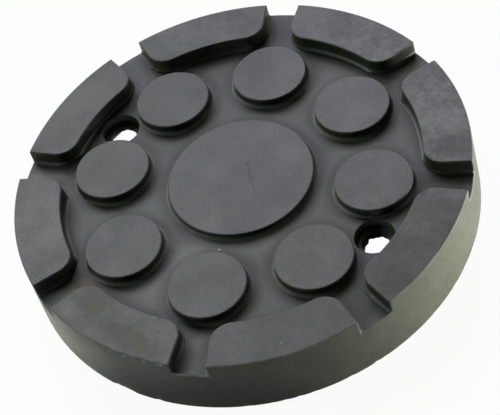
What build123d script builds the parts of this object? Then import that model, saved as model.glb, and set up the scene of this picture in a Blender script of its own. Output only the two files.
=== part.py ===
"""Round rubber pad with a raised block tread, moulded in one piece.

The pad is a shallow cap. Its skirt drops over a round carrier plate, two screws hold
its web to that plate, and the load stands on the tread: a ring of rim blocks, a ring
of round studs inside them and a round boss in the middle.

The origin is on the axis, at the foot of the skirt. +Z points up out of the tread, and
the two screw holes lie on the X axis. All sizes are in millimetres.
"""
import os
from math import cos, radians, sin, tan

from build123d import *

# Body of the cap
pad_dia = 120.0
pad_height = 18.0
side_draft_angle = 0.7
skirt_wall = 8.0

# Tread: heights above the floor, and as many studs as rim blocks.
# The slots between the blocks stand a little past the studs, as in the real mould.
tread_count = 8
block_height = 4.1
block_width = 12.6
block_corner_radius = 5.4
slot_angle = 8.7
slot_lead_angle = 1.3
stud_height = 2.7
stud_to_block_gap = 2.2
stud_to_stud_gap = 6.9
boss_height = 1.8
boss_to_stud_gap = 6.0

# Screw holes through the web, midway between two studs, with a seat for a round head
screw_count = 2
screw_hole_dia = 7.4
screw_head_dia = 10.3
screw_head_depth = 3.0
screw_seat_thickness = 1.1
screw_head_to_block_gap = 1.1
screw_head_to_stud_gap = 0.8

# Edges broken by the mould, drawn as narrow chamfers
tread_edge_break = 0.3
tread_root_break = 0.4
screw_mouth_break = 0.2
foot_edge_break = 0.5
recess_root_break = 1.0

# Levels above the foot of the skirt
floor_level = pad_height - block_height
screw_seat_level = floor_level - screw_head_depth
recess_level = screw_seat_level - screw_seat_thickness

# Radii of the cap
foot_radius = pad_dia / 2
crown_radius = foot_radius - pad_height * tan(radians(side_draft_angle))
recess_radius = foot_radius - skirt_wall
block_inner_radius = foot_radius - block_width
clear_radius = foot_radius + block_width

# Directions, with the screw holes on the X axis
tread_pitch = 360 / tread_count
first_stud_angle = tread_pitch / 2
first_slot_angle = first_stud_angle + slot_lead_angle
slot_side_x = clear_radius * cos(radians(slot_angle / 2))
slot_side_y = clear_radius * sin(radians(slot_angle / 2))

# A screw head passes close inside a block
screw_head_radius = screw_head_dia / 2
screw_ring_radius = block_inner_radius - screw_head_to_block_gap - screw_head_radius
head_clear_radius = screw_head_radius + screw_head_to_stud_gap

# The studs reach out to the same circle, and are as large as two neighbours allow:
# the next stud at one pitch, and a screw head at half a pitch
stud_reach = block_inner_radius - stud_to_block_gap
half_pitch_sine = sin(radians(tread_pitch / 2))
screw_ahead = screw_ring_radius * cos(radians(tread_pitch / 2))
screw_aside = screw_ring_radius * half_pitch_sine
radius_beside_stud = (stud_reach * half_pitch_sine - stud_to_stud_gap / 2) / (1 + half_pitch_sine)
radius_beside_head = ((stud_reach - screw_ahead) ** 2 + screw_aside**2 - head_clear_radius**2) / (
    2 * (stud_reach - screw_ahead + head_clear_radius)
)
stud_radius = min(radius_beside_stud, radius_beside_head)
stud_ring_radius = stud_reach - stud_radius
boss_radius = stud_ring_radius - stud_radius - boss_to_stud_gap

with BuildPart() as rubber_pad:
    # Skirt, web and rim, turned to full height with the drafted side wall
    with BuildSketch(Plane.XZ):
        with BuildLine():
            Polyline(
                (0, recess_level),
                (recess_radius, recess_level),
                (recess_radius, 0),
                (foot_radius, 0),
                (crown_radius, pad_height),
                (0, pad_height),
                close=True,
            )
        make_face()
    revolve(axis=Axis.Z)

    # The blocks are a ring cut by slots with radial sides, rounded at their inner corners
    with BuildSketch(mode=Mode.PRIVATE) as block_plan:
        Circle(clear_radius)
        Circle(block_inner_radius, mode=Mode.SUBTRACT)
        with PolarLocations(0, tread_count, start_angle=first_slot_angle):
            Polygon(
                (0, 0),
                (slot_side_x, slot_side_y),
                (slot_side_x, -slot_side_y),
                align=None,
                mode=Mode.SUBTRACT,
            )
        inner_corners = block_plan.vertices().group_by(SortBy.DISTANCE)[0]
        fillet(inner_corners, block_corner_radius)

    # The floor is sunk round them
    with BuildSketch(Plane.XY.offset(floor_level)):
        Circle(clear_radius)
        add(block_plan.sketch, mode=Mode.SUBTRACT)
    extrude(amount=block_height, mode=Mode.SUBTRACT)

    # The ring of studs stands on the floor
    with BuildSketch(Plane.XY.offset(floor_level)):
        with PolarLocations(stud_ring_radius, tread_count, start_angle=first_stud_angle):
            Circle(stud_radius)
    extrude(amount=stud_height)

    # The boss stands in the middle
    with BuildSketch(Plane.XY.offset(floor_level)):
        Circle(boss_radius)
    extrude(amount=boss_height)

    # The walls of the tread run into the floor over a narrow slope.
    # From below, the level faces are the foot, the ceiling of the recess, the floor and the tops.
    floor = rubber_pad.faces().filter_by(Axis.Z).sort_by(Axis.Z)[2]
    upright_faces = rubber_pad.faces().filter_by(lambda face: abs(face.normal_at().Z) < 1e-6)
    chamfer(floor.edges() & upright_faces.edges(), tread_root_break)

    # The edges of the tops are broken, and so is the rim where the side wall ends
    tops = rubber_pad.faces().filter_by(Axis.Z).sort_by(Axis.Z)[3:]
    side_wall = rubber_pad.faces().filter_by(GeomType.CONE).sort_by(SortBy.AREA)[-1]
    rim_edges = side_wall.edges().filter_by(lambda edge: edge.center().Z > recess_level)
    chamfer(set(tops.edges() + rim_edges), tread_edge_break)

    # The corner of the recess under the web, and the foot of the skirt
    ceiling = rubber_pad.faces().filter_by(Axis.Z).sort_by(Axis.Z)[1]
    chamfer(ceiling.edges(), recess_root_break)
    foot = rubber_pad.faces().filter_by(Axis.Z).sort_by(Axis.Z)[0]
    chamfer(foot.edges(), foot_edge_break)

    # The screw holes, sunk from the level of the blocks so that a screw head passes them
    with Locations(Plane.XY.offset(pad_height)):
        with PolarLocations(screw_ring_radius, screw_count):
            CounterBoreHole(
                radius=screw_hole_dia / 2,
                counter_bore_radius=screw_head_radius,
                counter_bore_depth=pad_height - screw_seat_level,
                depth=pad_height,
            )
    head_circles = rubber_pad.edges().filter_by(GeomType.CIRCLE).filter_by(
        lambda edge: abs(edge.radius - screw_head_radius) < 1e-6
    )
    mouths = head_circles.group_by(Axis.Z)[-1]
    chamfer(mouths, screw_mouth_break)

os.makedirs("parts", exist_ok=True)
rubber_pad.part.label = "rubber_pad"
export_step(rubber_pad.part, "parts/rubber_pad.step")
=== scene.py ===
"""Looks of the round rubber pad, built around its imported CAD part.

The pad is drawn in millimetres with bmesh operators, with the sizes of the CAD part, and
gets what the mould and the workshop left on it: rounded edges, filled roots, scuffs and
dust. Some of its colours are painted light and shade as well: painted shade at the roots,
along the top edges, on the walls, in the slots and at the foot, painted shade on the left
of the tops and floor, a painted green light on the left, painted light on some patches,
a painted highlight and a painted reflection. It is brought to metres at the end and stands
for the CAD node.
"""
import logging
from dataclasses import dataclass, field
from enum import Enum
from functools import cached_property, reduce
from math import asin, atan2, cos, hypot, pi, radians, sin, tan

import bmesh
import bpy
from bmesh.types import BMEdge, BMesh, BMFace, BMVert
from mathutils import Euler, Matrix, Vector, noise


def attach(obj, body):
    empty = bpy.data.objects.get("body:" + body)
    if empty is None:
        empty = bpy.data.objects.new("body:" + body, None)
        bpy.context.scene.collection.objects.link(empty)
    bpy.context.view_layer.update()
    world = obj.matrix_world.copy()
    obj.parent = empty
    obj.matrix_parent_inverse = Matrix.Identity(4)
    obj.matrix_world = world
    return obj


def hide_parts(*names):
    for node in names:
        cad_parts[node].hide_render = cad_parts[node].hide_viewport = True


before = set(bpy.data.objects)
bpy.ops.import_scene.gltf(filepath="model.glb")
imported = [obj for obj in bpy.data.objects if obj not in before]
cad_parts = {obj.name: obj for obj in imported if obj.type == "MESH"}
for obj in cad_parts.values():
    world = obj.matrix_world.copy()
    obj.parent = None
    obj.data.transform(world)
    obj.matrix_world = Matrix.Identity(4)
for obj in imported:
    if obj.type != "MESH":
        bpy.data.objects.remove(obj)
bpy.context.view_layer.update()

NODE = "rubber_pad"
MM = 0.001

Triple = tuple[float, float, float]
Colour = tuple[float, float, float, float]
Span = tuple[object, object]
Socket = bpy.types.NodeSocket
UP: Triple = (0.0, 0.0, 1.0)
ASIDE: Triple = (0.0, 1.0, 0.0)

log = logging.getLogger("rubber_pad")


def polar(radius: float, degrees_round: float, height: float = 0.0) -> Vector:
    """Returns a place by its distance from the Z axis, direction from +X and height."""
    turn = radians(degrees_round)
    return Vector((radius * cos(turn), radius * sin(turn), height))


def spread(place: Vector) -> float:
    """Returns the distance of a place from the Z axis."""
    return hypot(place.x, place.y)


def facing(place: Vector, azimuth: float) -> float:
    """Returns 1 where a place lies in a direction, and 0 where it lies opposite."""
    return 0.5 + 0.5 * place.normalized().dot(polar(1.0, azimuth))


def wander(place: Vector, scale: float, mean: float, swing: float) -> float:
    """Returns a number that wanders about its mean from place to place."""
    return mean + swing * noise.noise(place * scale)


class Side(Enum):
    """The side of a sector's middle line, as seen from above."""

    BEFORE = -1
    AFTER = 1


class Zone(Enum):
    """The parts of the pad's surface, each with its own finish."""

    BLOCKS = 0
    STUDS = 1
    FLOOR = 2
    ROUNDS = 3
    WALLS = 4
    RIM = 5
    SIDE = 6
    UNDERSIDE = 7


@dataclass
class Pen:
    """Draws an outline in a bmesh, each stroke extruded from the last point."""

    mesh: BMesh
    point: BMVert
    axis: Triple = UP
    edges: list[BMEdge] = field(default_factory=list)
    verts: list[BMVert] = field(default_factory=list)

    @classmethod
    def at(cls, mesh: BMesh, place: Vector, axis: Triple = UP) -> "Pen":
        """Returns a pen set down at a place, whose arcs turn about the axis."""
        point = bmesh.ops.create_vert(mesh, co=place)["vert"][0]
        return cls(mesh, point, axis, [], [point])

    def _step(self) -> BMVert:
        """Extrudes the last point on the spot.

        Returns:
            The new point.
        """
        made = bmesh.ops.extrude_vert_indiv(self.mesh, verts=[self.point])
        self.point = made["verts"][0]
        self.verts.append(self.point)
        self.edges += made["edges"]
        return self.point

    def line(self, end: Vector, steps: int = 1) -> None:
        """Draws a straight line.

        Args:
            end: Where the line ends.
            steps: Number of edges.
        """
        stride = (end - self.point.co) / steps
        for _ in range(steps):
            bmesh.ops.translate(self.mesh, verts=[self._step()], vec=stride)

    def arc(self, centre: Vector, degrees_round: float, steps: int) -> None:
        """Draws an arc.

        Args:
            centre: Middle of the arc.
            degrees_round: How far it turns, anticlockwise about the axis.
            steps: Number of edges.
        """
        turn = Matrix.Rotation(radians(degrees_round) / steps, 3, self.axis)
        for _ in range(steps):
            bmesh.ops.rotate(self.mesh, verts=[self._step()], cent=centre, matrix=turn)

    def close(self) -> None:
        """Joins the last point to the first."""
        bmesh.ops.weld_verts(self.mesh, targetmap={self.point: self.verts[0]})
        self.verts.pop()
        self.edges = list(dict.fromkeys(edge for vert in self.verts for edge in vert.link_edges))


@dataclass(frozen=True)
class PadSizes:
    """Sizes of the pad in millimetres and degrees, as the CAD part has them."""

    pad_dia: float = 120.0
    pad_height: float = 18.0
    side_draft: float = 0.7
    skirt_wall: float = 8.0
    tread_count: int = 8
    block_height: float = 4.1
    block_width: float = 12.6
    block_corner: float = 5.4
    slot_angle: float = 8.7
    slot_lead: float = 1.3
    stud_height: float = 2.7
    stud_radius: float = 10.01
    stud_ring: float = 35.19
    boss_height: float = 1.8
    boss_radius: float = 19.17
    screw_ring: float = 41.15
    screw_hole: float = 3.7
    screw_head: float = 5.15
    screw_seat_level: float = 10.9
    recess_level: float = 9.8
    foot_edge: float = 0.5
    recess_root: float = 1.0

    @property
    def floor_level(self) -> float:
        """Height of the tread's floor."""
        return self.pad_height - self.block_height

    @property
    def block_inner(self) -> float:
        """Radius of the blocks' inner arc."""
        return self.pad_dia / 2 - self.block_width

    @property
    def recess_radius(self) -> float:
        """Radius of the recess beneath."""
        return self.pad_dia / 2 - self.skirt_wall

    @property
    def pitch(self) -> float:
        """Angle from one stud to the next."""
        return 360 / self.tread_count

    def wall_radius(self, height: float) -> float:
        """Returns the radius of the drafted side wall at a height."""
        return self.pad_dia / 2 - height * tan(radians(self.side_draft))

    def slot_side(self, side: Side) -> float:
        """Returns the direction of the slot's near side, from a sector's middle line."""
        middle = side.value * self.pitch / 2 + self.slot_lead
        return middle - side.value * self.slot_angle / 2

    @property
    def hole_centres(self) -> tuple[Vector, Vector]:
        """The middles of the screw holes."""
        return Vector((-self.screw_ring, 0, 0)), Vector((self.screw_ring, 0, 0))

    def from_hole(self, place: Vector) -> float:
        """Returns the distance of a place from the axis of the nearest screw hole."""
        return min(spread(place - centre) for centre in self.hole_centres)

    def gap(self, place: Vector) -> float:
        """Measures how far a place on the floor is from the nearest raised shape.

        Args:
            place: The place; its height doesn't count.

        Returns:
            The distance, negative on a raised shape.
        """
        radius = spread(place)
        turn = atan2(place.y, place.x)
        pitch = radians(self.pitch)

        def off_line(lead: float) -> float:
            """Returns the angle from the nearest line of a ring that starts at an angle."""
            return (turn - radians(lead) + pitch / 2) % pitch - pitch / 2

        aside = off_line(self.pitch / 2)
        stud = hypot(radius * cos(aside) - self.stud_ring, radius * sin(aside)) - self.stud_radius
        from_slot = abs(off_line(self.pitch / 2 + self.slot_lead))
        slot = radius * (radians(self.slot_angle / 2) - from_slot) + self.block_corner
        inside = self.block_inner + self.block_corner - radius
        corner = hypot(max(slot, 0.0), max(inside, 0.0))
        block = min(max(slot, inside), 0.0) + corner - self.block_corner
        return min(radius - self.boss_radius, stud, block)


@dataclass(frozen=True)
class Steps:
    """How finely each stroke of the outlines is divided."""

    block_arc: int = 18
    block_corner: int = 16
    block_wall: int = 3
    slot_side: int = 12
    mouth_short: int = 6
    mouth_long: int = 10
    rim_block: int = 68
    half_stud: int = 48
    half_head: int = 24
    boss_part: int = 10
    wall: int = 14
    foot_edge: int = 4
    recess: int = 180
    recess_wall: int = 6
    recess_root: int = 5
    edge_round: int = 4
    seat_round: int = 2


@dataclass(frozen=True)
class ZoneLimits:
    """Where the zones part: by the share of a face's normal that points up, or in millimetres."""

    down: float = -0.5
    rim_steep: float = 0.1
    steep: float = 0.12
    level: float = 0.9
    flat: float = 0.995
    wall_band: float = 0.2
    rim_band: float = 0.1
    rim_depth: float = 1.0
    floor_band: float = 0.1
    slack: float = 0.05


@dataclass(frozen=True)
class Flash:
    """The ragged flash at the lower ends of the screw holes, in millimetres and degrees."""

    depths: tuple[tuple[int, float], ...] = ((1, 1.35), (-1, 0.6))
    azimuth: float = 150.0
    reach: float = 0.25
    height: float = 0.5
    scale: float = 0.5
    mean: float = 0.8
    swing: float = 0.9


@dataclass(frozen=True)
class FootWear:
    """How the foot's outer edge is nibbled, in millimetres and degrees."""

    azimuth: float = -80.0
    depth: float = 0.65
    height: float = 2.2
    width: float = 6.0
    scale: float = 0.21
    finer: float = 2.7
    finer_share: float = 0.5
    spared: float = 0.12
    far_share: float = 0.12


@dataclass(frozen=True)
class Chip:
    """A place where an edge is knocked back, in millimetres."""

    place: Triple
    radius: float
    push: Triple
    scale: float = 1.3
    mean: float = 0.7
    swing: float = 0.6
    clear_of_floor: float = 0.5


@dataclass
class MouldedPad:
    """The pad, moulded in one piece: cap, blocks, studs, boss and screw seats.

    Lengths are in millimetres and angles in degrees.
    """

    sizes: PadSizes = field(default_factory=PadSizes)
    steps: Steps = field(default_factory=Steps)
    limits: ZoneLimits = field(default_factory=ZoneLimits)
    flash: Flash = field(default_factory=Flash)
    foot_wear: FootWear = field(default_factory=FootWear)
    mesh: BMesh = field(default_factory=bmesh.new)
    weld: float = 0.002
    hair: float = 0.01
    slack: float = 0.1
    sharp_angle: float = 50.0
    edge_round: float = 0.35
    seat_round: float = 0.18
    root_round: float = 0.85
    root_ease: tuple[float, float] = (6.2, 9.5)
    root_rise_slack: float = 0.02
    root_gap_slack: float = 0.03
    chips: tuple[Chip, ...] = (
        Chip((3.9, -59.3, 17.9), 1.5, (-0.02, 0.22, -0.14)),
        Chip((8.6, -59.0, 17.9), 1.8, (-0.05, 0.28, -0.18)),
        Chip((13.2, -57.9, 17.9), 1.6, (-0.07, 0.24, -0.20)),
        Chip((17.4, -56.8, 17.9), 1.4, (-0.07, 0.22, -0.16)),
        Chip((20.9, -55.5, 17.9), 1.2, (-0.08, 0.20, -0.18)),
        Chip((-9.8, -36.05, 16.6), 1.1, (0.10, 0.25, -0.30)),
        Chip((40.7, 39.0, 18.0), 0.9, (-0.15, -0.12, -0.30)),
    )

    def build(self) -> bpy.types.Object:
        """Builds the pad's mesh, in metres, with each face's zone as its material index.

        Returns:
            The pad as an object at the origin.
        """
        sizes = self.sizes
        self._draw_floor()
        self._turn_side_wall()
        self._turn_recess()
        self._merge()
        self._sink_seats()
        self._raise_round(Vector((0, 0, 0)), sizes.boss_radius, sizes.boss_height)
        for turn in range(sizes.tread_count):
            centre = polar(sizes.stud_ring, sizes.pitch * (turn + 0.5))
            self._raise_round(centre, sizes.stud_radius, sizes.stud_height)
        self._raise_blocks()
        self._merge()
        bmesh.ops.recalc_face_normals(self.mesh, faces=self.mesh.faces)
        self._round_edges()
        self._widen_roots()
        self._fray_holes()
        self._wear_foot()
        self._wear_blocks()
        self.mesh.normal_update()
        for face in self.mesh.faces:
            face.material_index = self._zone(face).value
            face.smooth = True
        bmesh.ops.scale(self.mesh, vec=(MM, MM, MM), verts=self.mesh.verts)
        data = bpy.data.meshes.new("moulded_pad")
        self.mesh.to_mesh(data)
        open_edges = sum(1 for edge in self.mesh.edges if not edge.is_manifold)
        log.info("moulded_pad: %d faces, %d open edges", len(self.mesh.faces), open_edges)
        self.mesh.free()
        pad = bpy.data.objects.new("moulded_pad", data)
        bpy.context.scene.collection.objects.link(pad)
        weighted = pad.modifiers.new("even_shading", "WEIGHTED_NORMAL")
        weighted.keep_sharp = True
        return pad

    def _merge(self) -> None:
        """Joins the vertices that lie together."""
        bmesh.ops.remove_doubles(self.mesh, verts=self.mesh.verts, dist=self.weld)

    def _draw_floor(self) -> None:
        """Draws the floor as half sectors, each from a sector's middle line to a stud's."""
        for turn in range(self.sizes.tread_count):
            for side in Side:
                with_hole = turn % (self.sizes.tread_count // 2) == 0
                pen = self._draw_half_sector(side, with_hole)
                bmesh.ops.edgeloop_fill(self.mesh, edges=pen.edges)
                spin = Matrix.Rotation(radians(self.sizes.pitch * turn), 3, "Z")
                bmesh.ops.rotate(self.mesh, verts=pen.verts, cent=(0, 0, 0), matrix=spin)

    def _draw_half_sector(self, side: Side, with_hole: bool) -> Pen:
        """Draws the outline of half a sector, with its middle line along +X.

        Args:
            side: Side of the middle line that it lies on.
            with_hole: Whether a screw head's seat opens on the middle line.

        Returns:
            The pen, with the closed outline.
        """
        sizes, steps, sign = self.sizes, self.steps, side.value
        level = sizes.floor_level
        axis = Vector((0, 0, level))
        pen = Pen.at(self.mesh, polar(sizes.boss_radius, 0, level))
        if with_hole:
            pen.line(polar(sizes.screw_ring - sizes.screw_head, 0, level))
            pen.arc(polar(sizes.screw_ring, 0, level), -180 * sign, steps.half_head)
        pen.line(polar(sizes.block_inner, 0, level))
        slot_side = sizes.slot_side(side)
        corner_ring = sizes.block_inner + sizes.block_corner
        corner_turn = asin(sizes.block_corner / corner_ring) * 180 / pi
        corner_angle = slot_side - sign * corner_turn
        corner = polar(corner_ring, corner_angle, level)
        pen.arc(axis, corner_angle, steps.block_arc)
        pen.arc(corner, sign * (corner_turn - 90), steps.block_corner)
        pen.line(polar(sizes.wall_radius(level), slot_side, level), steps.slot_side)
        stud_angle = sign * sizes.pitch / 2
        mouth_steps = steps.mouth_short if side is Side.AFTER else steps.mouth_long
        pen.arc(axis, stud_angle - slot_side, mouth_steps)
        pen.line(polar(sizes.stud_ring + sizes.stud_radius, stud_angle, level))
        pen.arc(polar(sizes.stud_ring, stud_angle, level), -180 * sign, steps.half_stud)
        pen.line(polar(sizes.boss_radius, stud_angle, level))
        pen.arc(axis, -stud_angle, steps.boss_part)
        pen.close()
        return pen

    def _turn_side_wall(self) -> None:
        """Turns the side wall and the foot's outer edge, slot by slot and block by block."""
        sizes, steps = self.sizes, self.steps
        level = sizes.floor_level
        foot = sizes.foot_edge
        start = sizes.pitch / 2
        pen = Pen.at(self.mesh, polar(sizes.wall_radius(level), 0, level), ASIDE)
        pen.line(Vector((sizes.wall_radius(foot), 0, foot)), steps.wall)
        foot_centre = Vector((sizes.wall_radius(foot) - foot, 0, foot))
        pen.arc(foot_centre, 90 - sizes.side_draft, steps.foot_edge)
        turn = Matrix.Rotation(radians(start), 3, "Z")
        bmesh.ops.rotate(self.mesh, verts=pen.verts, cent=(0, 0, 0), matrix=turn)
        ahead = sizes.slot_side(Side.AFTER)
        behind = sizes.slot_side(Side.BEFORE)
        strokes = (
            (behind + start, steps.mouth_long),
            (ahead - behind, steps.rim_block),
            (start - ahead, steps.mouth_short),
        )
        last = [*pen.verts, *pen.edges]
        for angle, count in strokes * sizes.tread_count:
            last = bmesh.ops.spin(
                self.mesh, geom=last, cent=(0, 0, 0), axis=UP, angle=radians(angle), steps=count
            )["geom_last"]

    def _turn_recess(self) -> None:
        """Turns the recess beneath, closes its ceiling and bridges the foot."""
        sizes, steps = self.sizes, self.steps
        inner, foot, root = sizes.recess_radius, sizes.foot_edge, sizes.recess_root
        level = sizes.recess_level
        pen = Pen.at(self.mesh, Vector((inner + foot, 0, 0)), ASIDE)
        pen.arc(Vector((inner + foot, 0, foot)), 90, steps.foot_edge)
        pen.line(Vector((inner, 0, level - root)), steps.recess_wall)
        pen.arc(Vector((inner - root, 0, level - root)), -90, steps.recess_root)
        bmesh.ops.spin(
            self.mesh,
            geom=[*pen.verts, *pen.edges],
            cent=(0, 0, 0),
            axis=UP,
            angle=2 * pi,
            steps=steps.recess,
            use_merge=True,
        )
        for sign in (-1, 1):
            half = Pen.at(self.mesh, polar(inner - root, 180, level))
            for middle in (-sizes.screw_ring, sizes.screw_ring):
                half.line(Vector((middle - sizes.screw_hole, 0, level)))
                half.arc(Vector((middle, 0, level)), -180 * sign, steps.half_head)
            half.line(polar(inner - root, 0, level))
            half.arc(Vector((0, 0, level)), 180 * sign, steps.recess // 2)
            half.close()
            bmesh.ops.edgeloop_fill(self.mesh, edges=half.edges)
        self._merge()
        bmesh.ops.bridge_loops(self.mesh, edges=self._open_edges(0.0))

    def _open_edges(
        self, level: float, centre: Vector | None = None, radius: float = 0.0
    ) -> list[BMEdge]:
        """Finds the open edges at a height, all of them or those on one circle.

        Args:
            level: Their height.
            centre: Middle of the circle, or None for all.
            radius: Radius of the circle.

        Returns:
            The edges.
        """

        def fits(place: Vector) -> bool:
            """Returns whether a place is at the height and on the circle."""
            on_circle = centre is None or abs(spread(place - centre) - radius) < self.hair
            return on_circle and abs(place.z - level) < self.weld

        return [
            edge
            for edge in self.mesh.edges
            if edge.is_boundary and all(fits(vert.co) for vert in edge.verts)
        ]

    def _extrude(
        self, edges: list[BMEdge], rise: float
    ) -> tuple[list[BMEdge], list[BMVert]]:
        """Extrudes edges straight up or down.

        Args:
            edges: Edges to extrude.
            rise: How far up, or down where it is negative.

        Returns:
            The new edges at the end of the walls, and their vertices.
        """
        made = bmesh.ops.extrude_edge_only(self.mesh, edges=edges)["geom"]
        verts = [item for item in made if isinstance(item, BMVert)]
        ends = set(verts)
        ring = [item for item in made if isinstance(item, BMEdge) and ends.issuperset(item.verts)]
        bmesh.ops.translate(self.mesh, verts=verts, vec=(0, 0, rise))
        return ring, verts

    def _sink_seats(self) -> None:
        """Sinks the seats of the screw heads, and the holes through the web."""
        sizes = self.sizes
        share = sizes.screw_hole / sizes.screw_head
        for centre in sizes.hole_centres:
            ring = self._open_edges(sizes.floor_level, centre, sizes.screw_head)
            ring, _ = self._extrude(ring, sizes.screw_seat_level - sizes.floor_level)
            ring, verts = self._extrude(ring, 0)
            to_centre = Matrix.Translation(-centre)
            bmesh.ops.scale(self.mesh, vec=(share, share, 1), space=to_centre, verts=verts)
            self._extrude(ring, sizes.recess_level - sizes.screw_seat_level)

    def _raise_round(self, centre: Vector, radius: float, height: float) -> None:
        """Raises a round stud from the floor and closes its top.

        Args:
            centre: Its middle.
            radius: Its radius.
            height: Its height above the floor.
        """
        ring = self._open_edges(self.sizes.floor_level, centre, radius)
        ring, _ = self._extrude(ring, height)
        bmesh.ops.edgeloop_fill(self.mesh, edges=ring)

    def _raise_blocks(self) -> None:
        """Raises the rim blocks from the floor and the side wall, and closes their tops."""
        sizes = self.sizes
        edges = self._open_edges(sizes.floor_level)
        rise = sizes.block_height / self.steps.block_wall
        for ring in range(self.steps.block_wall):
            edges, verts = self._extrude(edges, rise)
            below = sizes.floor_level + rise * ring
            wall = sizes.wall_radius(below)
            share = sizes.wall_radius(below + rise) / wall
            outer = [vert for vert in verts if spread(vert.co) > wall - self.hair]
            bmesh.ops.scale(self.mesh, vec=(share, share, 1), verts=outer)
        bmesh.ops.edgeloop_fill(self.mesh, edges=edges)

    def _round_edges(self) -> None:
        """Rounds the edges of the tread, fills its roots and softens the screw seats."""
        sizes = self.sizes
        recess_corner = sizes.recess_radius - sizes.recess_root - self.slack
        tread, seats = [], []
        for edge in self.mesh.edges:
            if len(edge.link_faces) != 2 or edge.calc_face_angle(0) < radians(self.sharp_angle):
                continue
            middle = (edge.verts[0].co + edge.verts[1].co) / 2
            if middle.z < sizes.recess_level + self.hair and spread(middle) > recess_corner:
                continue
            if sizes.from_hole(middle) < sizes.screw_head + self.slack:
                seats.append(edge)
            elif middle.z > sizes.floor_level - self.hair:
                tread.append(edge)
        for edges, offset, segments in (
            (tread, self.edge_round, self.steps.edge_round),
            (seats, self.seat_round, self.steps.seat_round),
        ):
            bmesh.ops.bevel(
                self.mesh,
                geom=[item for item in edges if item.is_valid],
                offset=offset,
                offset_type="OFFSET",
                segments=segments,
                profile=0.5,
                affect="EDGES",
                clamp_overlap=True,
                material=-1,
            )

    def _widen_roots(self) -> None:
        """Widens the fillets at the roots of the tread, but not beside the screw seats."""
        sizes = self.sizes
        rim = sizes.wall_radius(sizes.floor_level) - self.root_rise_slack
        near, far = self.root_ease

        def slope(place: Vector, step: Vector) -> float:
            """Returns how much the gap grows from one side of a place to the other."""
            return sizes.gap(place + step) - sizes.gap(place - step)

        for vert in self.mesh.verts:
            rise = vert.co.z - sizes.floor_level
            on_fillet = -self.weld < rise < self.edge_round + self.root_rise_slack
            if not on_fillet or spread(vert.co) > rim:
                continue
            out = sizes.gap(vert.co)
            if not -self.root_gap_slack < out < self.edge_round + self.root_gap_slack:
                continue
            ease = min(max((sizes.from_hole(vert.co) - near) / (far - near), 0.0), 1.0)
            grow = (self.root_round / self.edge_round - 1) * ease * ease * (3 - 2 * ease)
            away = Vector(
                (
                    slope(vert.co, Vector((self.hair, 0, 0))),
                    slope(vert.co, Vector((0, self.hair, 0))),
                    0.0,
                )
            )
            if away.length > 0:
                vert.co += away.normalized() * max(out, 0.0) * grow
            vert.co.z += max(rise, 0.0) * grow

    def _fray_holes(self) -> None:
        """Leaves ragged flash round the lower ends of the screw holes."""
        sizes, flash = self.sizes, self.flash
        top = sizes.recess_level + flash.height
        for sign, depth in flash.depths:
            centre = Vector((sign * sizes.screw_ring, 0, 0))
            for vert in self.mesh.verts:
                off = vert.co - centre
                off.z = 0
                if off.length > sizes.screw_hole + flash.reach or vert.co.z > top:
                    continue
                ragged = wander(vert.co, flash.scale, flash.mean, flash.swing)
                vert.co -= off.normalized() * depth * facing(off, flash.azimuth) * ragged

    def _wear_foot(self) -> None:
        """Nibbles the foot's outer edge, inwards only."""
        wear = self.foot_wear
        inner = self.sizes.pad_dia / 2 - wear.width
        for vert in self.mesh.verts:
            radius = spread(vert.co)
            if radius < inner or vert.co.z > wear.height:
                continue
            near = Vector((vert.co.x, vert.co.y, 0)) * wear.scale
            bite = noise.noise(near) + wear.finer_share * noise.noise(near * wear.finer)
            side = wear.far_share + (1 - wear.far_share) * facing(vert.co, wear.azimuth) ** 3
            fade = (1 - vert.co.z / wear.height) * side
            pull = max(0.0, bite - wear.spared) * wear.depth * fade
            vert.co.x *= 1 - pull / radius
            vert.co.y *= 1 - pull / radius

    def _wear_blocks(self) -> None:
        """Chips the edges of the blocks and a stud where the load has caught them."""
        for chip in self.chips:
            lowest = self.sizes.floor_level + chip.clear_of_floor
            for vert in self.mesh.verts:
                away = (vert.co - Vector(chip.place)).length
                if away >= chip.radius or vert.co.z < lowest:
                    continue
                fall = (1 - (away / chip.radius) ** 2) ** 2
                rough = wander(vert.co, chip.scale, chip.mean, chip.swing)
                vert.co += Vector(chip.push) * fall * rough

    def _zone(self, face: BMFace) -> Zone:
        """Finds the part of the surface that a face belongs to.

        Args:
            face: The face, with its normal up to date.

        Returns:
            Its zone.
        """
        sizes, limits = self.sizes, self.limits
        middle, upward = face.calc_center_median(), face.normal.z
        radius, wall = spread(middle), sizes.wall_radius(middle.z)
        above = middle.z - sizes.floor_level
        outer = radius > wall - limits.wall_band
        in_recess = middle.z < sizes.recess_level + limits.slack and not outer
        if upward < limits.down or in_recess:
            return Zone.UNDERSIDE
        on_rim = radius > wall - self.edge_round - limits.rim_band
        if on_rim and above > -limits.rim_depth and limits.rim_steep < upward < limits.flat:
            return Zone.RIM
        if upward > limits.level and above > self.root_round:
            return Zone.BLOCKS if above > sizes.stud_height + self.edge_round else Zone.STUDS
        if upward > limits.flat and above > -limits.floor_band:
            return Zone.FLOOR
        at_root = -self.hair < above < self.root_round
        at_edge = above > sizes.boss_height - self.edge_round - limits.slack
        if upward > limits.steep and not outer and (at_root or at_edge):
            return Zone.ROUNDS
        if outer:
            return Zone.SIDE
        return Zone.ROUNDS if upward > limits.level else Zone.WALLS


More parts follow.
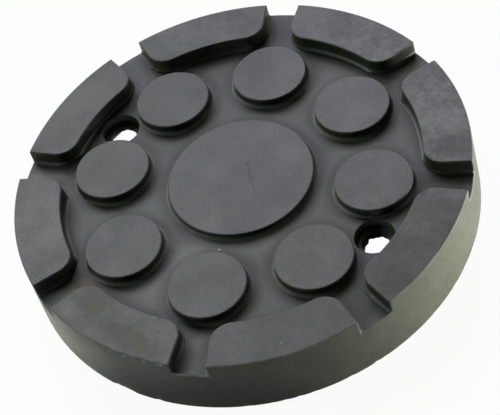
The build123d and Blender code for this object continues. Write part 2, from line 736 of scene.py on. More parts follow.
class NodeSheet:
    """Adds nodes to a tree and links them."""

    def __init__(self, tree: bpy.types.NodeTree) -> None:
        """Takes the tree to work in."""
        self.tree = tree

    def add(self, kind: str, **options: object) -> bpy.types.Node:
        """Adds a node.

        Args:
            kind: The node's type name.
            options: Properties to set on it.

        Returns:
            The node.
        """
        node = self.tree.nodes.new(kind)
        for name, value in options.items():
            setattr(node, name, value)
        return node

    def feed(self, into: Socket, value: object) -> None:
        """Links a socket to another, or sets a plain value.

        Args:
            into: The socket to feed.
            value: Socket or plain value.
        """
        if isinstance(value, Socket):
            self.tree.links.new(value, into)
        else:
            into.default_value = value

    def put(self, kind: str, output: str | int, inputs: dict, **options: object) -> Socket:
        """Adds a node and feeds it.

        Args:
            kind: The node's type name.
            output: Name or number of the output that is read.
            inputs: What is fed, by the name or number of the input.
            options: Properties to set on it.

        Returns:
            The output.
        """
        node = self.add(kind, **options)
        for key, value in inputs.items():
            self.feed(node.inputs[key], value)
        return node.outputs[output]

    def math(self, operation: str, first: object, second: object = 0.0) -> Socket:
        """Returns what a Math node makes of two sockets or numbers."""
        return self.put("ShaderNodeMath", "Value", {0: first, 1: second}, operation=operation)

    def plus(self, first: object, second: object) -> Socket:
        """Returns the sum of two sockets or numbers."""
        return self.math("ADD", first, second)

    def minus(self, first: object, second: object) -> Socket:
        """Returns the difference of two sockets or numbers."""
        return self.math("SUBTRACT", first, second)

    def times(self, *factors: object) -> Socket:
        """Returns the product of sockets or numbers."""
        return reduce(lambda first, second: self.math("MULTIPLY", first, second), factors)

    def hypot(self, first: Socket, second: Socket) -> Socket:
        """Returns the root of the sum of two squares."""
        return self.math("SQRT", self.plus(self.times(first, first), self.times(second, second)))

    def vector(self, operation: str, first: object, second: object = (0.0, 0.0, 0.0)) -> Socket:
        """Returns a Vector Math node's output, a number for a length or a dot product."""
        output = "Value" if operation in ("LENGTH", "DOT_PRODUCT") else "Vector"
        return self.put("ShaderNodeVectorMath", output, {0: first, 1: second}, operation=operation)

    def off_axis(self, place: Socket) -> Socket:
        """Returns the distance of a place from the Z axis."""
        return self.vector("LENGTH", self.vector("MULTIPLY", place, (1.0, 1.0, 0.0)))

    def scaled(self, vector: object, factor: object) -> Socket:
        """Returns a colour or vector multiplied by a number."""
        inputs = {0: vector, "Scale": factor}
        return self.put("ShaderNodeVectorMath", "Vector", inputs, operation="SCALE")

    def ramp(self, value: Socket, span: Span, ends: Span = (0.0, 1.0)) -> Socket:
        """Returns a value mapped smoothly from a span of values to the ends of another."""
        inputs = dict(enumerate((value, *span, *ends)))
        return self.put("ShaderNodeMapRange", "Result", inputs, interpolation_type="SMOOTHSTEP")

    def noise(
        self, place: Socket, scale: object, detail: float = 2.0, roughness: float = 0.5
    ) -> Socket:
        """Returns a Noise Texture's value, about 0.5 in the mean, with features to a millimetre."""
        inputs = {"Vector": place, "Scale": scale, "Detail": detail, "Roughness": roughness}
        return self.put("ShaderNodeTexNoise", "Fac", inputs)

    def cells(self, place: Socket, scale: object) -> Socket:
        """Returns the distance from the middle of the nearest cell of a Voronoi Texture."""
        return self.put("ShaderNodeTexVoronoi", "Distance", {"Vector": place, "Scale": scale})


class Effects:
    """The node groups that the finishes share, each built once. All sizes are in millimetres."""

    def __init__(self, sizes: PadSizes) -> None:
        """Builds the groups.

        Args:
            sizes: The pad's sizes.
        """
        self.sizes = sizes
        self.tread_gap = self._tread_gap()
        self.mould_grain = self._mould_grain()
        self.soft_stain = self._soft_stain()
        self.scratch = self._scratch()
        self.dust_cloud = self._dust_cloud()
        self.turning_marks = self._turning_marks()

    @staticmethod
    def _start(name: str, inputs: dict[str, object], outputs: tuple[str, ...]) -> tuple:
        """Starts a group.

        Args:
            name: The group's name.
            inputs: Its inputs after Place, with their first values; a tuple makes a vector.
            outputs: Its outputs.

        Returns:
            Its sheet, the sockets that bring its inputs and those that take its outputs.
        """
        tree = bpy.data.node_groups.new(name, "ShaderNodeTree")
        for key, value in {"Place": (0.0, 0.0, 0.0), **inputs}.items():
            kind = "NodeSocketVector" if isinstance(value, tuple) else "NodeSocketFloat"
            socket = tree.interface.new_socket(key, in_out="INPUT", socket_type=kind)
            socket.default_value = value
        for key in outputs:
            tree.interface.new_socket(key, in_out="OUTPUT", socket_type="NodeSocketFloat")
        sheet = NodeSheet(tree)
        return sheet, sheet.add("NodeGroupInput").outputs, sheet.add("NodeGroupOutput").inputs

    def _tread_gap(self) -> bpy.types.NodeTree:
        """Builds the distance on the floor from the nearest raised shape, negative on a shape.

        Returns:
            The group, from Place to Gap. It measures as PadSizes.gap does.
        """
        sizes = self.sizes
        sheet, given, out = self._start("tread_gap", {}, ("Gap",))
        split = sheet.add("ShaderNodeSeparateXYZ")
        sheet.feed(split.inputs[0], given["Place"])
        radius = sheet.off_axis(given["Place"])
        turn = sheet.math("ARCTAN2", split.outputs["Y"], split.outputs["X"])
        pitch = radians(sizes.pitch)

        def off_line(lead: float) -> Socket:
            """Returns the angle from the nearest line of a ring that starts at an angle."""
            shifted = sheet.plus(turn, 4 * pi - radians(lead) + pitch / 2)
            return sheet.minus(sheet.math("MODULO", shifted, pitch), pitch / 2)

        boss = sheet.minus(radius, sizes.boss_radius)
        aside = off_line(sizes.pitch / 2)
        along = sheet.minus(sheet.times(radius, sheet.math("COSINE", aside)), sizes.stud_ring)
        across = sheet.times(radius, sheet.math("SINE", aside))
        stud = sheet.minus(sheet.hypot(along, across), sizes.stud_radius)
        from_slot = sheet.math("ABSOLUTE", off_line(sizes.pitch / 2 + sizes.slot_lead))
        into_slot = sheet.minus(radians(sizes.slot_angle / 2), from_slot)
        slot = sheet.plus(sheet.times(radius, into_slot), sizes.block_corner)
        inside = sheet.minus(sizes.block_inner + sizes.block_corner, radius)
        highest = sheet.math("MINIMUM", sheet.math("MAXIMUM", slot, inside), 0.0)
        slot_out = sheet.math("MAXIMUM", slot, 0.0)
        corner = sheet.hypot(slot_out, sheet.math("MAXIMUM", inside, 0.0))
        block = sheet.minus(sheet.plus(highest, corner), sizes.block_corner)
        past_rim = sheet.minus(radius, sizes.wall_radius(sizes.pad_height))
        block = sheet.math("MAXIMUM", block, past_rim)
        nearest = sheet.math("MINIMUM", sheet.math("MINIMUM", boss, stud), block)
        sheet.feed(out["Gap"], nearest)
        return sheet.tree

    def _mould_grain(self) -> bpy.types.NodeTree:
        """Builds the fine grain of the mould, with small pits.

        Returns:
            The group, from Place, Size and Pits to Height and Tone.
        """
        sheet, given, out = self._start(
            "mould_grain", {"Size": 0.6, "Pits": 0.3}, ("Height", "Tone")
        )
        place = given["Place"]
        scale = sheet.math("DIVIDE", 1.0, given["Size"])
        grain = sheet.noise(place, scale, detail=4.0, roughness=0.6)
        pits = sheet.ramp(sheet.cells(place, sheet.times(scale, 0.35)), (0.02, 0.16), (-1.0, 0.0))
        sheet.feed(out["Height"], sheet.plus(grain, sheet.times(pits, given["Pits"])))
        broad = sheet.noise(place, sheet.times(scale, 0.06), detail=5.0, roughness=0.6)
        fine = sheet.noise(place, scale)
        sheet.feed(out["Tone"], sheet.plus(sheet.times(broad, 0.55), sheet.times(fine, 0.45)))
        return sheet.tree

    def _soft_stain(self) -> bpy.types.NodeTree:
        """Builds a patch with a soft, ragged edge.

        Returns:
            The group, from Place, Centre, Stretch, Reach, Ragged and Soft to Mask.
        """
        first = {
            "Centre": (0.0, 0.0, 0.0),
            "Stretch": (1.0, 1.0, 1.0),
            "Reach": 3.0,
            "Ragged": 0.5,
            "Soft": 0.6,
        }
        sheet, given, out = self._start("soft_stain", first, ("Mask",))
        away = sheet.vector("SUBTRACT", given["Place"], given["Centre"])
        away = sheet.vector("DIVIDE", away, given["Stretch"])
        share = sheet.math("DIVIDE", sheet.vector("LENGTH", away), given["Reach"])
        wander = sheet.minus(sheet.noise(given["Place"], 0.45, detail=4.0, roughness=0.6), 0.5)
        share = sheet.plus(share, sheet.times(given["Ragged"], 4.0, wander))
        span = (sheet.minus(1.0, given["Soft"]), 1.0)
        sheet.feed(out["Mask"], sheet.ramp(share, span, (1.0, 0.0)))
        return sheet.tree

    def _scratch(self) -> bpy.types.NodeTree:
        """Builds a straight scratch, uneven along its length.

        Returns:
            The group, from Place, Start, Along, Length and Width to Mask.
        """
        first = {"Start": (0.0, 0.0, 0.0), "Along": (1.0, 0.0, 0.0), "Length": 5.0, "Width": 0.2}
        sheet, given, out = self._start("scratch", first, ("Mask",))
        away = sheet.vector("SUBTRACT", given["Place"], given["Start"])
        share = sheet.vector("DOT_PRODUCT", away, given["Along"])
        held = sheet.math("MAXIMUM", sheet.math("MINIMUM", share, given["Length"]), 0.0)
        off = sheet.vector("SUBTRACT", away, sheet.scaled(given["Along"], held))
        uneven = sheet.ramp(sheet.noise(given["Place"], 1.6), (0.3, 0.6), (0.35, 1.0))
        span = (sheet.times(given["Width"], 0.3), given["Width"])
        mask = sheet.ramp(sheet.vector("LENGTH", off), span, (1.0, 0.0))
        sheet.feed(out["Mask"], sheet.times(mask, uneven))
        return sheet.tree

    def _dust_cloud(self) -> bpy.types.NodeTree:
        """Builds thin dust in clouds, with single specks.

        Returns:
            The group, from Place, Size and Cover to Cloud and Specks.
        """
        sheet, given, out = self._start(
            "dust_cloud", {"Size": 8.0, "Cover": 0.5}, ("Cloud", "Specks")
        )
        scale = sheet.math("DIVIDE", 1.0, given["Size"])
        cloud = sheet.noise(given["Place"], scale, detail=6.0, roughness=0.65)
        edge = sheet.minus(1.0, given["Cover"])
        span = (sheet.minus(edge, 0.12), sheet.plus(edge, 0.22))
        sheet.feed(out["Cloud"], sheet.ramp(cloud, span))
        dots = sheet.ramp(sheet.cells(given["Place"], 0.4), (0.04, 0.10), (1.0, 0.0))
        picked = sheet.ramp(sheet.noise(given["Place"], 0.3, detail=1.0), (0.56, 0.60))
        sheet.feed(out["Specks"], sheet.times(dots, picked))
        return sheet.tree

    def _turning_marks(self) -> bpy.types.NodeTree:
        """Builds the faint rings that the turned mould leaves about the axis.

        Returns:
            The group, from Place, Spacing, Inner and Outer to Rings.
        """
        first = {"Spacing": 0.9, "Inner": 0.0, "Outer": 20.0}
        sheet, given, out = self._start("turning_marks", first, ("Rings",))
        radius = sheet.off_axis(given["Place"])
        turns = sheet.math("DIVIDE", radius, given["Spacing"])
        wave = sheet.math("SINE", sheet.times(turns, 2 * pi))
        patchy = sheet.ramp(sheet.noise(given["Place"], 0.12, detail=3.0), (0.4, 0.62))
        inner = sheet.ramp(radius, (given["Inner"], sheet.plus(given["Inner"], 2.0)))
        outer_span = (sheet.minus(given["Outer"], 1.0), given["Outer"])
        outer = sheet.ramp(radius, outer_span, (1.0, 0.0))
        sheet.feed(out["Rings"], sheet.times(wave, sheet.times(inner, outer, patchy)))
        return sheet.tree


class RubberSheet(NodeSheet):
    """A rubber material's nodes, with places in millimetres and the shared effects."""

    def __init__(self, tree: bpy.types.NodeTree, effects: Effects) -> None:
        """Takes the material's tree and the effects, and scales the places.

        Args:
            tree: The material's node tree.
            effects: The shared node groups.
        """
        super().__init__(tree)
        self.effects = effects
        in_metres = self.put("ShaderNodeTexCoord", "Object", {})
        inputs = {"Vector": in_metres, "Scale": (1 / MM, 1 / MM, 1 / MM)}
        self.place = self.put("ShaderNodeMapping", "Vector", inputs)

    def effect(self, group: bpy.types.NodeTree, **values: object) -> bpy.types.bpy_prop_collection:
        """Places a node group on the rubber.

        Args:
            group: The group's tree.
            values: Its inputs after Place, by name.

        Returns:
            The group's outputs.
        """
        node = self.add("ShaderNodeGroup", node_tree=group)
        for name, value in {"Place": self.place, **values}.items():
            self.feed(node.inputs[name], value)
        return node.outputs

    @cached_property
    def unevenness(self) -> Socket:
        """The lighter and darker places of worn rubber, 0 in the mean."""
        return self.minus(self.noise(self.place, 0.4, detail=4.0, roughness=0.65), 0.5)

    def blend(self, share: Socket, first: object, second: object) -> Socket:
        """Returns two colours mixed, with a share of the second."""
        return self.put("ShaderNodeMix", 2, {0: share, 6: first, 7: second}, data_type="RGBA")

    def vary(self, colour: Socket, amount: Socket) -> Socket:
        """Returns a colour made lighter by a share, or darker where that is negative."""
        return self.scaled(colour, self.plus(1.0, amount))


@dataclass(frozen=True)
class Patch:
    """A patch of the rubber with a soft edge, in millimetres."""

    centre: Triple
    reach: float
    stretch: Triple = field(default=(1.0, 1.0, 1.0), kw_only=True)
    ragged: float = field(default=0.1, kw_only=True)
    soft: float = field(default=0.7, kw_only=True)

    def mask(self, sheet: RubberSheet) -> Socket:
        """Places the patch's mask on the rubber.

        Args:
            sheet: The material's nodes.

        Returns:
            The mask.
        """
        return sheet.effect(
            sheet.effects.soft_stain,
            Centre=self.centre,
            Stretch=self.stretch,
            Reach=self.reach,
            Ragged=self.ragged,
            Soft=self.soft,
        )["Mask"]

    def lay(self, sheet: RubberSheet, colour: Socket) -> Socket:
        """Returns the rubber's colour with the patch laid over it."""
        raise NotImplementedError


@dataclass(frozen=True)
class Stain(Patch):
    """A patch of another colour."""

    colour: Colour
    strength: float
    ragged: float = field(default=0.35, kw_only=True)

    def lay(self, sheet: RubberSheet, colour: Socket) -> Socket:
        """Returns the rubber's colour with the stain blended in."""
        return sheet.blend(sheet.times(self.mask(sheet), self.strength), colour, self.colour)


@dataclass(frozen=True)
class Tone(Patch):
    """A broad patch that is darker or lighter than the rest."""

    factor: float

    def lay(self, sheet: RubberSheet, colour: Socket) -> Socket:
        """Returns the rubber's colour, darker or lighter on the patch."""
        return sheet.vary(colour, sheet.times(self.mask(sheet), self.factor - 1.0))


@dataclass(frozen=True)
class Mottle(Patch):
    """A patch that wear has left uneven."""

    strength: float
    ragged: float = field(default=0.0, kw_only=True)
    soft: float = field(default=0.3, kw_only=True)

    def lay(self, sheet: RubberSheet, colour: Socket) -> Socket:
        """Returns the rubber's colour, uneven on the patch."""
        amount = sheet.times(self.mask(sheet), 2 * self.strength, sheet.unevenness)
        return sheet.vary(colour, amount)


@dataclass(frozen=True)
class Scratch:
    """A straight mark on the rubber, in millimetres."""

    start: Triple
    end: Triple
    width: float
    colour: Colour
    strength: float

    def mask(self, sheet: RubberSheet) -> Socket:
        """Places the scratch's mask on the rubber.

        Args:
            sheet: The material's nodes.

        Returns:
            The mask.
        """
        run = Vector(self.end) - Vector(self.start)
        return sheet.effect(
            sheet.effects.scratch,
            Start=self.start,
            Along=tuple(run.normalized()),
            Length=run.length,
            Width=self.width,
        )["Mask"]


@dataclass(frozen=True)
class RubberFinish:
    """One zone's finish: moulded black rubber, rubbed, dusty or bare, with painted light and shade
    on some zones.
    """

    zone: Zone
    dark: Colour
    light: Colour
    roughness: float
    specular: float
    roughness_swing: float = 0.05
    grain_size: float = 0.6
    grain_depth: float = 0.03
    grain_strength: float = 0.6
    # root_reach and root_shade paint shade on the floor beside the raised shapes; edge_reach and
    # edge_shade paint shade on the tops along their edges
    root_reach: float = 0.0
    root_shade: float = 1.0
    edge_reach: float = 0.0
    edge_shade: float = 1.0
    dust: float = 0.0
    dust_colour: Colour = (0.20, 0.20, 0.19, 1.0)
    speck_gain: float = 2.0
    rings: float = 0.0
    ring_relief: float = 4.0
    marks: tuple[Patch, ...] = ()
    scratches: tuple[Scratch, ...] = ()

    def material(self, effects: Effects) -> bpy.types.Material:
        """Makes the zone's material.

        Args:
            effects: The shared node groups.

        Returns:
            The material.
        """
        made = bpy.data.materials.new(f"rubber_{self.zone.name.lower()}")
        made.use_nodes = True
        sheet = RubberSheet(made.node_tree, effects)
        shader = made.node_tree.nodes["Principled BSDF"]
        grain = sheet.effect(effects.mould_grain, Size=self.grain_size, Pits=0.3)
        height = grain["Height"]
        colour = sheet.blend(sheet.ramp(grain["Tone"], (0.36, 0.64)), self.dark, self.light)
        ends = (self.roughness + self.roughness_swing, self.roughness - self.roughness_swing)
        roughness = sheet.ramp(grain["Tone"], (0.3, 0.7), ends)
        if self.rings:
            rings = sheet.effect(effects.turning_marks, Spacing=1.1, Inner=3.0, Outer=19.0)["Rings"]
            colour = sheet.vary(colour, sheet.times(rings, self.rings))
            height = sheet.plus(height, sheet.times(rings, self.rings * self.ring_relief))
        if self.dust:
            dust = sheet.effect(effects.dust_cloud, Size=9.0, Cover=0.45)
            for name, strength in (("Cloud", self.dust), ("Specks", self.dust * self.speck_gain)):
                colour = sheet.blend(sheet.times(dust[name], strength), colour, self.dust_colour)
        colour = self._shade_gaps(sheet, colour)
        for mark in self.marks:
            colour = mark.lay(sheet, colour)
        for scratch in self.scratches:
            mask = scratch.mask(sheet)
            colour = sheet.blend(sheet.times(mask, scratch.strength), colour, scratch.colour)
            height = sheet.minus(height, mask)
        bump = {
            "Strength": self.grain_strength,
            "Distance": self.grain_depth * MM,
            "Height": height,
        }
        surface = {
            "Base Color": colour,
            "Roughness": roughness,
            "Specular IOR Level": self.specular,
            "Normal": sheet.put("ShaderNodeBump", "Normal", bump),
        }
        for name, value in surface.items():
            sheet.feed(shader.inputs[name], value)
        return made

    def _shade_gaps(self, sheet: RubberSheet, colour: Socket) -> Socket:
        """Paints shade at the roots and along the edges of the tread, where the finish asks for it.

        Args:
            sheet: The material's nodes.
            colour: The rubber's colour so far.

        Returns:
            The colour with the painted shade.
        """
        if not (self.root_reach or self.edge_reach):
            return colour
        gap = sheet.effect(sheet.effects.tread_gap)["Gap"]
        # painted shade on the floor, darkest at the roots of the raised shapes
        if self.root_reach:
            shade = sheet.ramp(gap, (0.0, self.root_reach), (self.root_shade, 1.0))
            colour = sheet.scaled(colour, shade)
        # painted shade on the tops, darker towards their edges
        if self.edge_reach:
            uneven = sheet.minus(sheet.noise(sheet.place, 0.5, detail=3.0), 0.5)
            inside = sheet.plus(gap, sheet.times(uneven, self.edge_reach))
            shade = sheet.ramp(inside, (-self.edge_reach, 0.0), (1.0, self.edge_shade))
            colour = sheet.scaled(colour, shade)
        return colour


BROWN_DUST: Colour = (0.041, 0.040, 0.024, 1.0)
OLIVE_DUST: Colour = (0.066, 0.069, 0.052, 1.0)
# the green tint of the light from the left, painted into the colour
PAINTED_GREEN_LIGHT: Colour = (0.036, 0.044, 0.028, 1.0)
GREY_DUST: Colour = (0.115, 0.115, 0.118, 1.0)
BARE: Colour = (0.022, 0.022, 0.02, 1.0)
PALE: Colour = (0.20, 0.20, 0.19, 1.0)

# painted shade: the tops darker towards the left and the far left, where less light falls
PAINTED_SHADE_LEFT = Tone((-75.0, 5.0, 17.0), 116.0, 0.62, ragged=0.01, soft=0.95)
PAINTED_SHADE_FAR_LEFT = Tone((-47.0, 34.0, 18.0), 52.0, 0.62, ragged=0.03, soft=0.8)
# painted green light on the tops towards the left
PAINTED_GREEN_LIGHT_ON_LEFT = Stain((-75.0, -8.0, 17.0), 70.0, PAINTED_GREEN_LIGHT, 0.6, ragged=0.01, soft=0.95)

BLOCKS_FINISH = RubberFinish(
    zone=Zone.BLOCKS,
    dark=(0.053, 0.051, 0.053, 1.0),
    light=(0.088, 0.086, 0.087, 1.0),
    roughness=0.52,
    specular=0.4,
    # painted shade on the block tops along their edges
    edge_reach=0.8,
    edge_shade=0.85,
    dust=0.3,
    dust_colour=(0.125, 0.124, 0.121, 1.0),
    marks=(
        Mottle((45.0, 45.0, 18.0), 60.0, 0.85),
        Mottle((0.0, -53.7, 18.0), 22.0, 0.6),
        Mottle((-40.0, 38.0, 18.0), 20.0, 0.5),
        Tone((42.0, -35.0, 18.0), 17.0, 0.77, soft=0.5),
        Tone((26.5, -48.5, 18.0), 8.0, 0.84),
        Tone((53.7, 0.0, 18.0), 20.0, 0.49, soft=0.4),
        PAINTED_SHADE_LEFT,
        PAINTED_SHADE_FAR_LEFT,
        Tone((-38.0, -38.0, 18.0), 17.0, 1.6, ragged=0.05),
        Tone((0.0, -53.7, 18.0), 22.0, 0.94, ragged=0.05, soft=0.3),
        Tone((-12.0, -50.0, 18.0), 8.0, 0.84, ragged=0.2),
        Tone((-8.8, -50.8, 18.0), 6.0, 0.45, ragged=0.3),
        Tone((-13.0, -54.8, 18.0), 4.2, 2.0, ragged=0.2),
        Tone((7.6, -55.2, 18.0), 5.0, 0.30, stretch=(2.6, 0.8, 1.0), ragged=0.25),
        Tone((10.0, -50.0, 18.0), 6.0, 1.10, ragged=0.3),
        Tone((55.7, -12.0, 18.0), 7.0, 0.62, ragged=0.3),
        Tone((40.5, 40.0, 18.0), 13.0, 1.16),
        Tone((30.0, 43.0, 18.0), 8.0, 1.12),
        Tone((45.0, 30.0, 18.0), 6.0, 0.56, ragged=0.3),
        Tone((-5.0, 54.2, 18.0), 7.0, 0.58, ragged=0.3),
        Tone((12.0, 52.0, 18.0), 8.0, 1.28, ragged=0.2),
        Tone((57.6, 1.0, 18.0), 3.5, 0.85, ragged=0.4),
        Tone((51.0, 5.0, 18.0), 4.5, 1.35, ragged=0.4),
        Tone((36.0, -38.0, 18.0), 5.0, 1.18, ragged=0.4),
        Tone((48.0, -26.0, 18.0), 4.0, 0.8, ragged=0.4),
        Tone((37.0, 41.0, 18.0), 5.0, 0.88, ragged=0.4),
        Tone((9.0, 55.0, 18.0), 5.0, 0.85, ragged=0.4),
        PAINTED_GREEN_LIGHT_ON_LEFT,
        Stain((54.0, 0.0, 18.0), 20.0, BROWN_DUST, 0.3, ragged=0.05, soft=0.4),
        Stain((0.0, -53.7, 18.0), 22.0, OLIVE_DUST, 0.4, ragged=0.05, soft=0.3),
        Stain((-8.2, -50.2, 18.0), 5.6, BROWN_DUST, 0.95),
        Stain((-11.5, -47.7, 18.0), 3.0, BROWN_DUST, 0.6),
        Stain((6.8, -55.0, 18.0), 4.4, BROWN_DUST, 0.9, stretch=(2.6, 0.75, 1.0)),
        Stain((46.4, 35.0, 18.0), 2.6, BROWN_DUST, 0.5),
        Stain((-5.5, 53.9, 18.0), 4.0, BROWN_DUST, 0.35, stretch=(1.4, 0.8, 1.0)),
        Stain((-1.5, 56.6, 18.0), 0.5, PALE, 0.4, ragged=0.05),
        Stain((13.2, -50.8, 18.0), 0.6, PALE, 0.3, stretch=(1.3, 0.8, 1.0), ragged=0.08),
        Stain((42.0, 36.3, 18.0), 5.0, GREY_DUST, 0.4, stretch=(1.3, 1.0, 1.0)),
        Stain((40.7, -38.7, 18.0), 0.45, PALE, 0.5, stretch=(1.8, 0.7, 1.0), ragged=0.05),
        Stain((40.2, -40.4, 18.0), 0.6, BARE, 0.7, ragged=0.05),
        Stain((40.7, 39.0, 18.0), 0.45, BARE, 0.7, ragged=0.05),
        Stain((8.6, -47.0, 18.0), 0.45, PALE, 0.4, stretch=(1.8, 0.7, 1.0), ragged=0.05),
        Stain((-49.1, -3.1, 18.0), 0.4, PALE, 0.4, ragged=0.05),
    ),
)
STUDS_FINISH = RubberFinish(
    zone=Zone.STUDS,
    dark=(0.060, 0.058, 0.061, 1.0),
    light=(0.081, 0.079, 0.082, 1.0),
    roughness=0.52,
    specular=0.4,
    # painted shade on the stud and boss tops along their edges
    edge_reach=0.8,
    edge_shade=0.85,
    dust=0.16,
    dust_colour=(0.125, 0.124, 0.122, 1.0),
    rings=0.02,
    marks=(
        Tone((53.7, 0.0, 18.0), 20.0, 0.47, soft=0.4),
        PAINTED_SHADE_LEFT,
        PAINTED_SHADE_FAR_LEFT,
        Tone((32.5, -13.5, 16.6), 14.0, 0.92),
        PAINTED_GREEN_LIGHT_ON_LEFT,
        Stain((-13.9, -27.1, 16.6), 0.4, PALE, 0.2, ragged=0.05),
        Stain((-9.8, -36.05, 16.6), 0.45, BARE, 0.6, ragged=0.05),
    ),
    scratches=(
        Scratch((-0.92, 4.58, 15.7), (2.16, 1.19, 15.7), 0.32, BARE, 0.9),
        Scratch((2.16, 1.19, 15.7), (5.48, -1.64, 15.7), 0.32, BARE, 0.75),
        Scratch((5.48, -1.64, 15.7), (7.75, -3.47, 15.7), 0.26, BARE, 0.4),
    ),
)
FLOOR_FINISH = RubberFinish(
    zone=Zone.FLOOR,
    dark=(0.068, 0.067, 0.068, 1.0),
    light=(0.084, 0.083, 0.084, 1.0),
    roughness=0.55,
    specular=0.38,
    # painted shade on the floor round the roots of the studs, boss and blocks
    root_reach=5.4,
    root_shade=0.18,
    dust=0.16,
    dust_colour=(0.125, 0.124, 0.120, 1.0),
    marks=(
        # painted shade: the floor darker towards the left
        Tone((-62.0, 36.0, 13.9), 108.0, 0.62, ragged=0.01, soft=0.95),
        # painted light and shade on the slot floors: darker where the factor is below 1, lighter
        # where it is above 1
        Tone((48.5, 21.6, 13.9), 10.0, 0.30, ragged=0.15),
        Tone((19.4, 50.4, 13.9), 8.0, 1.20, ragged=0.15),
        Tone((-22.0, 49.3, 13.9), 7.5, 0.46, ragged=0.15),
        Tone((50.4, -19.4, 13.9), 8.0, 0.38, ragged=0.15),
        Tone((-21.0, -50.0, 13.9), 7.0, 1.7, ragged=0.15),
        Tone((-49.0, -22.0, 13.9), 7.0, 2.2, ragged=0.15),
        Tone((-50.3, 19.5, 13.9), 7.0, 0.68, ragged=0.15),
        Tone((21.8, -49.4, 13.9), 8.0, 1.55, ragged=0.15),
        # painted light and shade on the floor between the studs, lifting or deepening the painted
        # root shade
        Tone((25.0, -25.0, 13.9), 9.0, 1.15),
        Tone((25.0, 25.0, 13.9), 9.0, 1.15),
        Tone((6.0, -24.0, 13.9), 7.0, 1.2),
        Tone((0.0, -35.0, 13.9), 14.0, 1.95),
        Tone((-25.0, 25.0, 13.9), 9.0, 0.90),
        Tone((-33.0, 0.0, 13.9), 9.0, 0.88),
        Stain((8.1, -21.0, 13.9), 0.32, (0.6, 0.6, 0.57, 1.0), 0.7, ragged=0.03),
        Stain((-16.6, -45.9, 13.9), 3.2, (0.060, 0.048, 0.036, 1.0), 0.6),
    ),
)
ROUNDS_FINISH = RubberFinish(
    zone=Zone.ROUNDS,
    dark=(0.046, 0.047, 0.043, 1.0),
    light=(0.069, 0.071, 0.064, 1.0),
    roughness=0.5,
    specular=0.35,
    grain_depth=0.015,
    marks=(
        # painted shade on the rounded edges of the block ends beside two slots
        Tone((50.0, 27.0, 15.0), 9.0, 0.3),
        Tone((16.0, 52.0, 15.0), 9.0, 0.25),
        # painted highlight along a rounded inner corner of the block at -90 degrees
        Stain((15.4, -47.7, 18.0), 4.0, (0.16, 0.16, 0.155, 1.0), 0.6, ragged=0.1),
    ),
)
RIM_FINISH = RubberFinish(
    zone=Zone.RIM,
    # the rim's lighter colour is partly worn rubber and partly a painted highlight along the outer
    # top edge
    dark=(0.060, 0.060, 0.057, 1.0),
    light=(0.130, 0.131, 0.124, 1.0),
    roughness=0.55,
    specular=0.3,
    grain_size=0.25,
    grain_depth=0.05,
    marks=(
        # painted light and shade along the rim: lighter at the front, darker on the right
        Tone((32.0, -49.0, 17.7), 30.0, 1.9, soft=0.8),
        Tone((46.0, -38.0, 17.7), 12.0, 1.35),
        Tone((58.0, 8.0, 17.7), 24.0, 0.74),
    ),
)
WALLS_FINISH = RubberFinish(
    zone=Zone.WALLS,
    # painted shade: the inner walls are a darker copy of the rubber, standing in for the shade on
    # them
    dark=(0.020, 0.021, 0.015, 1.0),
    light=(0.031, 0.032, 0.023, 1.0),
    roughness=0.5,
    specular=0.22,
    grain_depth=0.02,
    marks=(
        # painted light and shade on the walls: darker on two block ends and towards 90 degrees,
        # lighter towards 135 degrees
        Tone((50.0, 27.0, 16.0), 9.0, 0.25),
        Tone((16.0, 52.0, 16.0), 9.0, 0.35),
        Tone((-38.0, 38.0, 16.0), 24.0, 3.2),
        Tone((0.0, 48.0, 16.0), 18.0, 0.75),
    ),
)
SIDE_FINISH = RubberFinish(
    zone=Zone.SIDE,
    dark=(0.058, 0.059, 0.048, 1.0),
    light=(0.070, 0.071, 0.059, 1.0),
    roughness=0.5,
    specular=0.1,
    grain_size=1.2,
    dust=0.1,
    marks=(
        # painted shade: the side wall darker towards the foot at the front, where the pad meets the
        # table
        Tone((20.0, -56.0, -1.0), 42.0, 0.14, stretch=(1.0, 1.0, 0.45), ragged=0.04, soft=0.8),
        # painted light and reflection: the side wall lighter towards the left
        Tone((-19.0, -57.0, 8.0), 26.0, 3.9, ragged=0.04, soft=0.95),
    ),
)
UNDERSIDE_FINISH = RubberFinish(
    zone=Zone.UNDERSIDE,
    dark=(0.030, 0.030, 0.029, 1.0),
    light=(0.044, 0.044, 0.042, 1.0),
    roughness=0.55,
    specular=0.4,
    grain_size=0.9,
    dust=0.12,
)
FINISHES = (
    BLOCKS_FINISH,
    STUDS_FINISH,
    FLOOR_FINISH,
    ROUNDS_FINISH,
    WALLS_FINISH,
    RIM_FINISH,
    SIDE_FINISH,
    UNDERSIDE_FINISH,
)


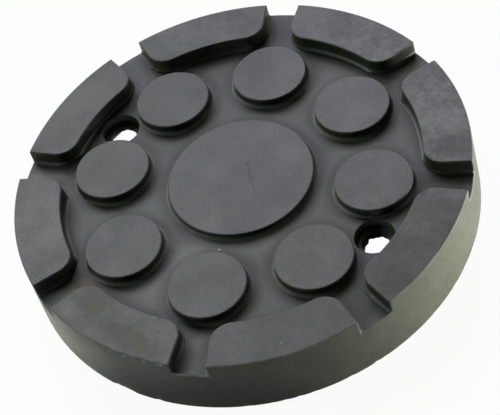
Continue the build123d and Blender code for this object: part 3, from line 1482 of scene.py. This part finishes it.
@dataclass(frozen=True)
class TableFinish:
    """Plain white table, shown near white, that still takes the pad's shadow."""

    colour: Colour = (0.9, 0.9, 0.9, 1.0)
    shown_white: float = 0.94
    clear_radius: float = 0.050
    clear_edge: float = 0.004
    roughness: float = 0.9

    def material(self) -> bpy.types.Material:
        """Makes the table's material.

        Returns:
            The material.
        """
        made = bpy.data.materials.new("white_table")
        made.use_nodes = True
        tree = made.node_tree
        sheet = NodeSheet(tree)
        shader = tree.nodes["Principled BSDF"]
        shader.inputs["Base Color"].default_value = self.colour
        shader.inputs["Roughness"].default_value = self.roughness
        path = sheet.add("ShaderNodeLightPath")
        seen = sheet.math("MAXIMUM", path.outputs["Is Camera Ray"], path.outputs["Is Glossy Ray"])
        seen = sheet.math("MAXIMUM", seen, path.outputs["Is Transmission Ray"])
        place = sheet.add("ShaderNodeTexCoord").outputs["Object"]
        reach = sheet.vector("LENGTH", place)
        under = (self.clear_radius - self.clear_edge, self.clear_radius + self.clear_edge)
        share = sheet.ramp(reach, under, (1.0, self.shown_white))
        glow = sheet.add("ShaderNodeEmission")
        mixed = sheet.add("ShaderNodeMixShader")
        parts = (sheet.times(seen, share), shader.outputs["BSDF"], glow.outputs["Emission"])
        for socket, value in zip(mixed.inputs, parts):
            sheet.feed(socket, value)
        sheet.feed(tree.nodes["Material Output"].inputs["Surface"], mixed.outputs["Shader"])
        return made


@dataclass(frozen=True)
class SoftBox:
    """A soft lamp that looks at the pad."""

    name: str
    azimuth: float
    elevation: float
    distance: float
    width: float
    watts: float
    tint: Triple = (1.0, 1.0, 1.0)
    card_height: float = 0.0

    def place(self) -> None:
        """Puts the lamp in the scene."""
        lamp = bpy.data.lights.new(self.name, "AREA")
        lamp.shape = "RECTANGLE" if self.card_height else "DISK"
        lamp.size = self.width
        if self.card_height:
            lamp.size_y = self.card_height
        lamp.energy = self.watts
        lamp.color = self.tint
        held = bpy.data.objects.new(self.name, lamp)
        rise = radians(self.elevation)
        spot = polar(cos(rise) * self.distance, self.azimuth, sin(rise) * self.distance)
        held.location = spot
        held.rotation_euler = (-spot).to_track_quat("-Z", "Y").to_euler()
        held.visible_camera = False
        bpy.context.scene.collection.objects.link(held)


@dataclass
class Studio:
    """The table, the lamps and the surrounding light."""

    table_size: float = 6.0
    table_cells: int = 8
    table_drop: float = 0.00002
    table_finish: TableFinish = field(default_factory=TableFinish)
    lamps: tuple[SoftBox, ...] = (
        SoftBox("main_lamp", 160.0, 31.0, 3.0, 1.5, 48.0, (0.91, 0.94, 1.0)),
        SoftBox("back_lamp", 128.0, 31.0, 3.0, 1.7, 40.0, (0.79, 0.74, 1.0)),
        SoftBox("high_lamp", 132.0, 52.0, 3.0, 1.7, 18.0, (0.97, 1.0, 0.76)),
        SoftBox("left_lamp", 220.0, 25.0, 3.0, 1.2, 39.0, (0.89, 1.0, 0.87)),
        SoftBox("right_lamp", 56.0, 12.0, 3.0, 1.2, 25.0, (1.0, 1.0, 0.92)),
        SoftBox("right_card", 28.0, 1.0, 0.14, 0.12, 0.33, (0.97, 1.0, 0.86), 0.005),
    )
    sky: Colour = (1.0, 1.0, 1.0, 1.0)
    sky_strength: float = 0.035

    def build(self) -> None:
        """Sets the studio up."""
        mesh = bmesh.new()
        cells = self.table_cells
        bmesh.ops.create_grid(mesh, x_segments=cells, y_segments=cells, size=self.table_size / 2)
        data = bpy.data.meshes.new("table")
        mesh.to_mesh(data)
        mesh.free()
        table = bpy.data.objects.new("table", data)
        table.data.materials.append(self.table_finish.material())
        table.location.z = -self.table_drop
        bpy.context.scene.collection.objects.link(table)
        for lamp in self.lamps:
            lamp.place()
        world = bpy.data.worlds.new("studio_light")
        world.use_nodes = True
        back = world.node_tree.nodes["Background"]
        back.inputs["Color"].default_value = self.sky
        back.inputs["Strength"].default_value = self.sky_strength
        bpy.context.scene.world = world


@dataclass(frozen=True)
class PhotoCamera:
    """The camera at the photograph's viewing angle."""

    place: Triple = (0.21747, -0.18399, 0.32955)
    turn: Triple = (39.573, 12.048, 35.634)
    lens: float = 118.88
    sensor: float = 36.0
    nearest: float = 0.01

    def build(self) -> None:
        """Places the camera and makes it the scene's."""
        data = bpy.data.cameras.new("photo_camera")
        data.lens = self.lens
        data.sensor_fit = "HORIZONTAL"
        data.sensor_width = self.sensor
        data.clip_start = self.nearest
        camera = bpy.data.objects.new("photo_camera", data)
        camera.location = self.place
        camera.rotation_euler = Euler([radians(angle) for angle in self.turn], "XYZ")
        bpy.context.scene.collection.objects.link(camera)
        bpy.context.scene.camera = camera


def main() -> None:
    """Builds the scene: camera, studio and pad."""
    logging.basicConfig(level=logging.INFO, format="%(name)s: %(message)s")
    bpy.context.scene.view_settings.view_transform = "Standard"
    PhotoCamera().build()
    Studio().build()
    moulded = MouldedPad()
    effects = Effects(moulded.sizes)
    pad = moulded.build()
    for finish in sorted(FINISHES, key=lambda each: each.zone.value):
        pad.data.materials.append(finish.material(effects))
    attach(pad, "root")
    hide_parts(NODE)


if __name__ == "__main__":
    main()
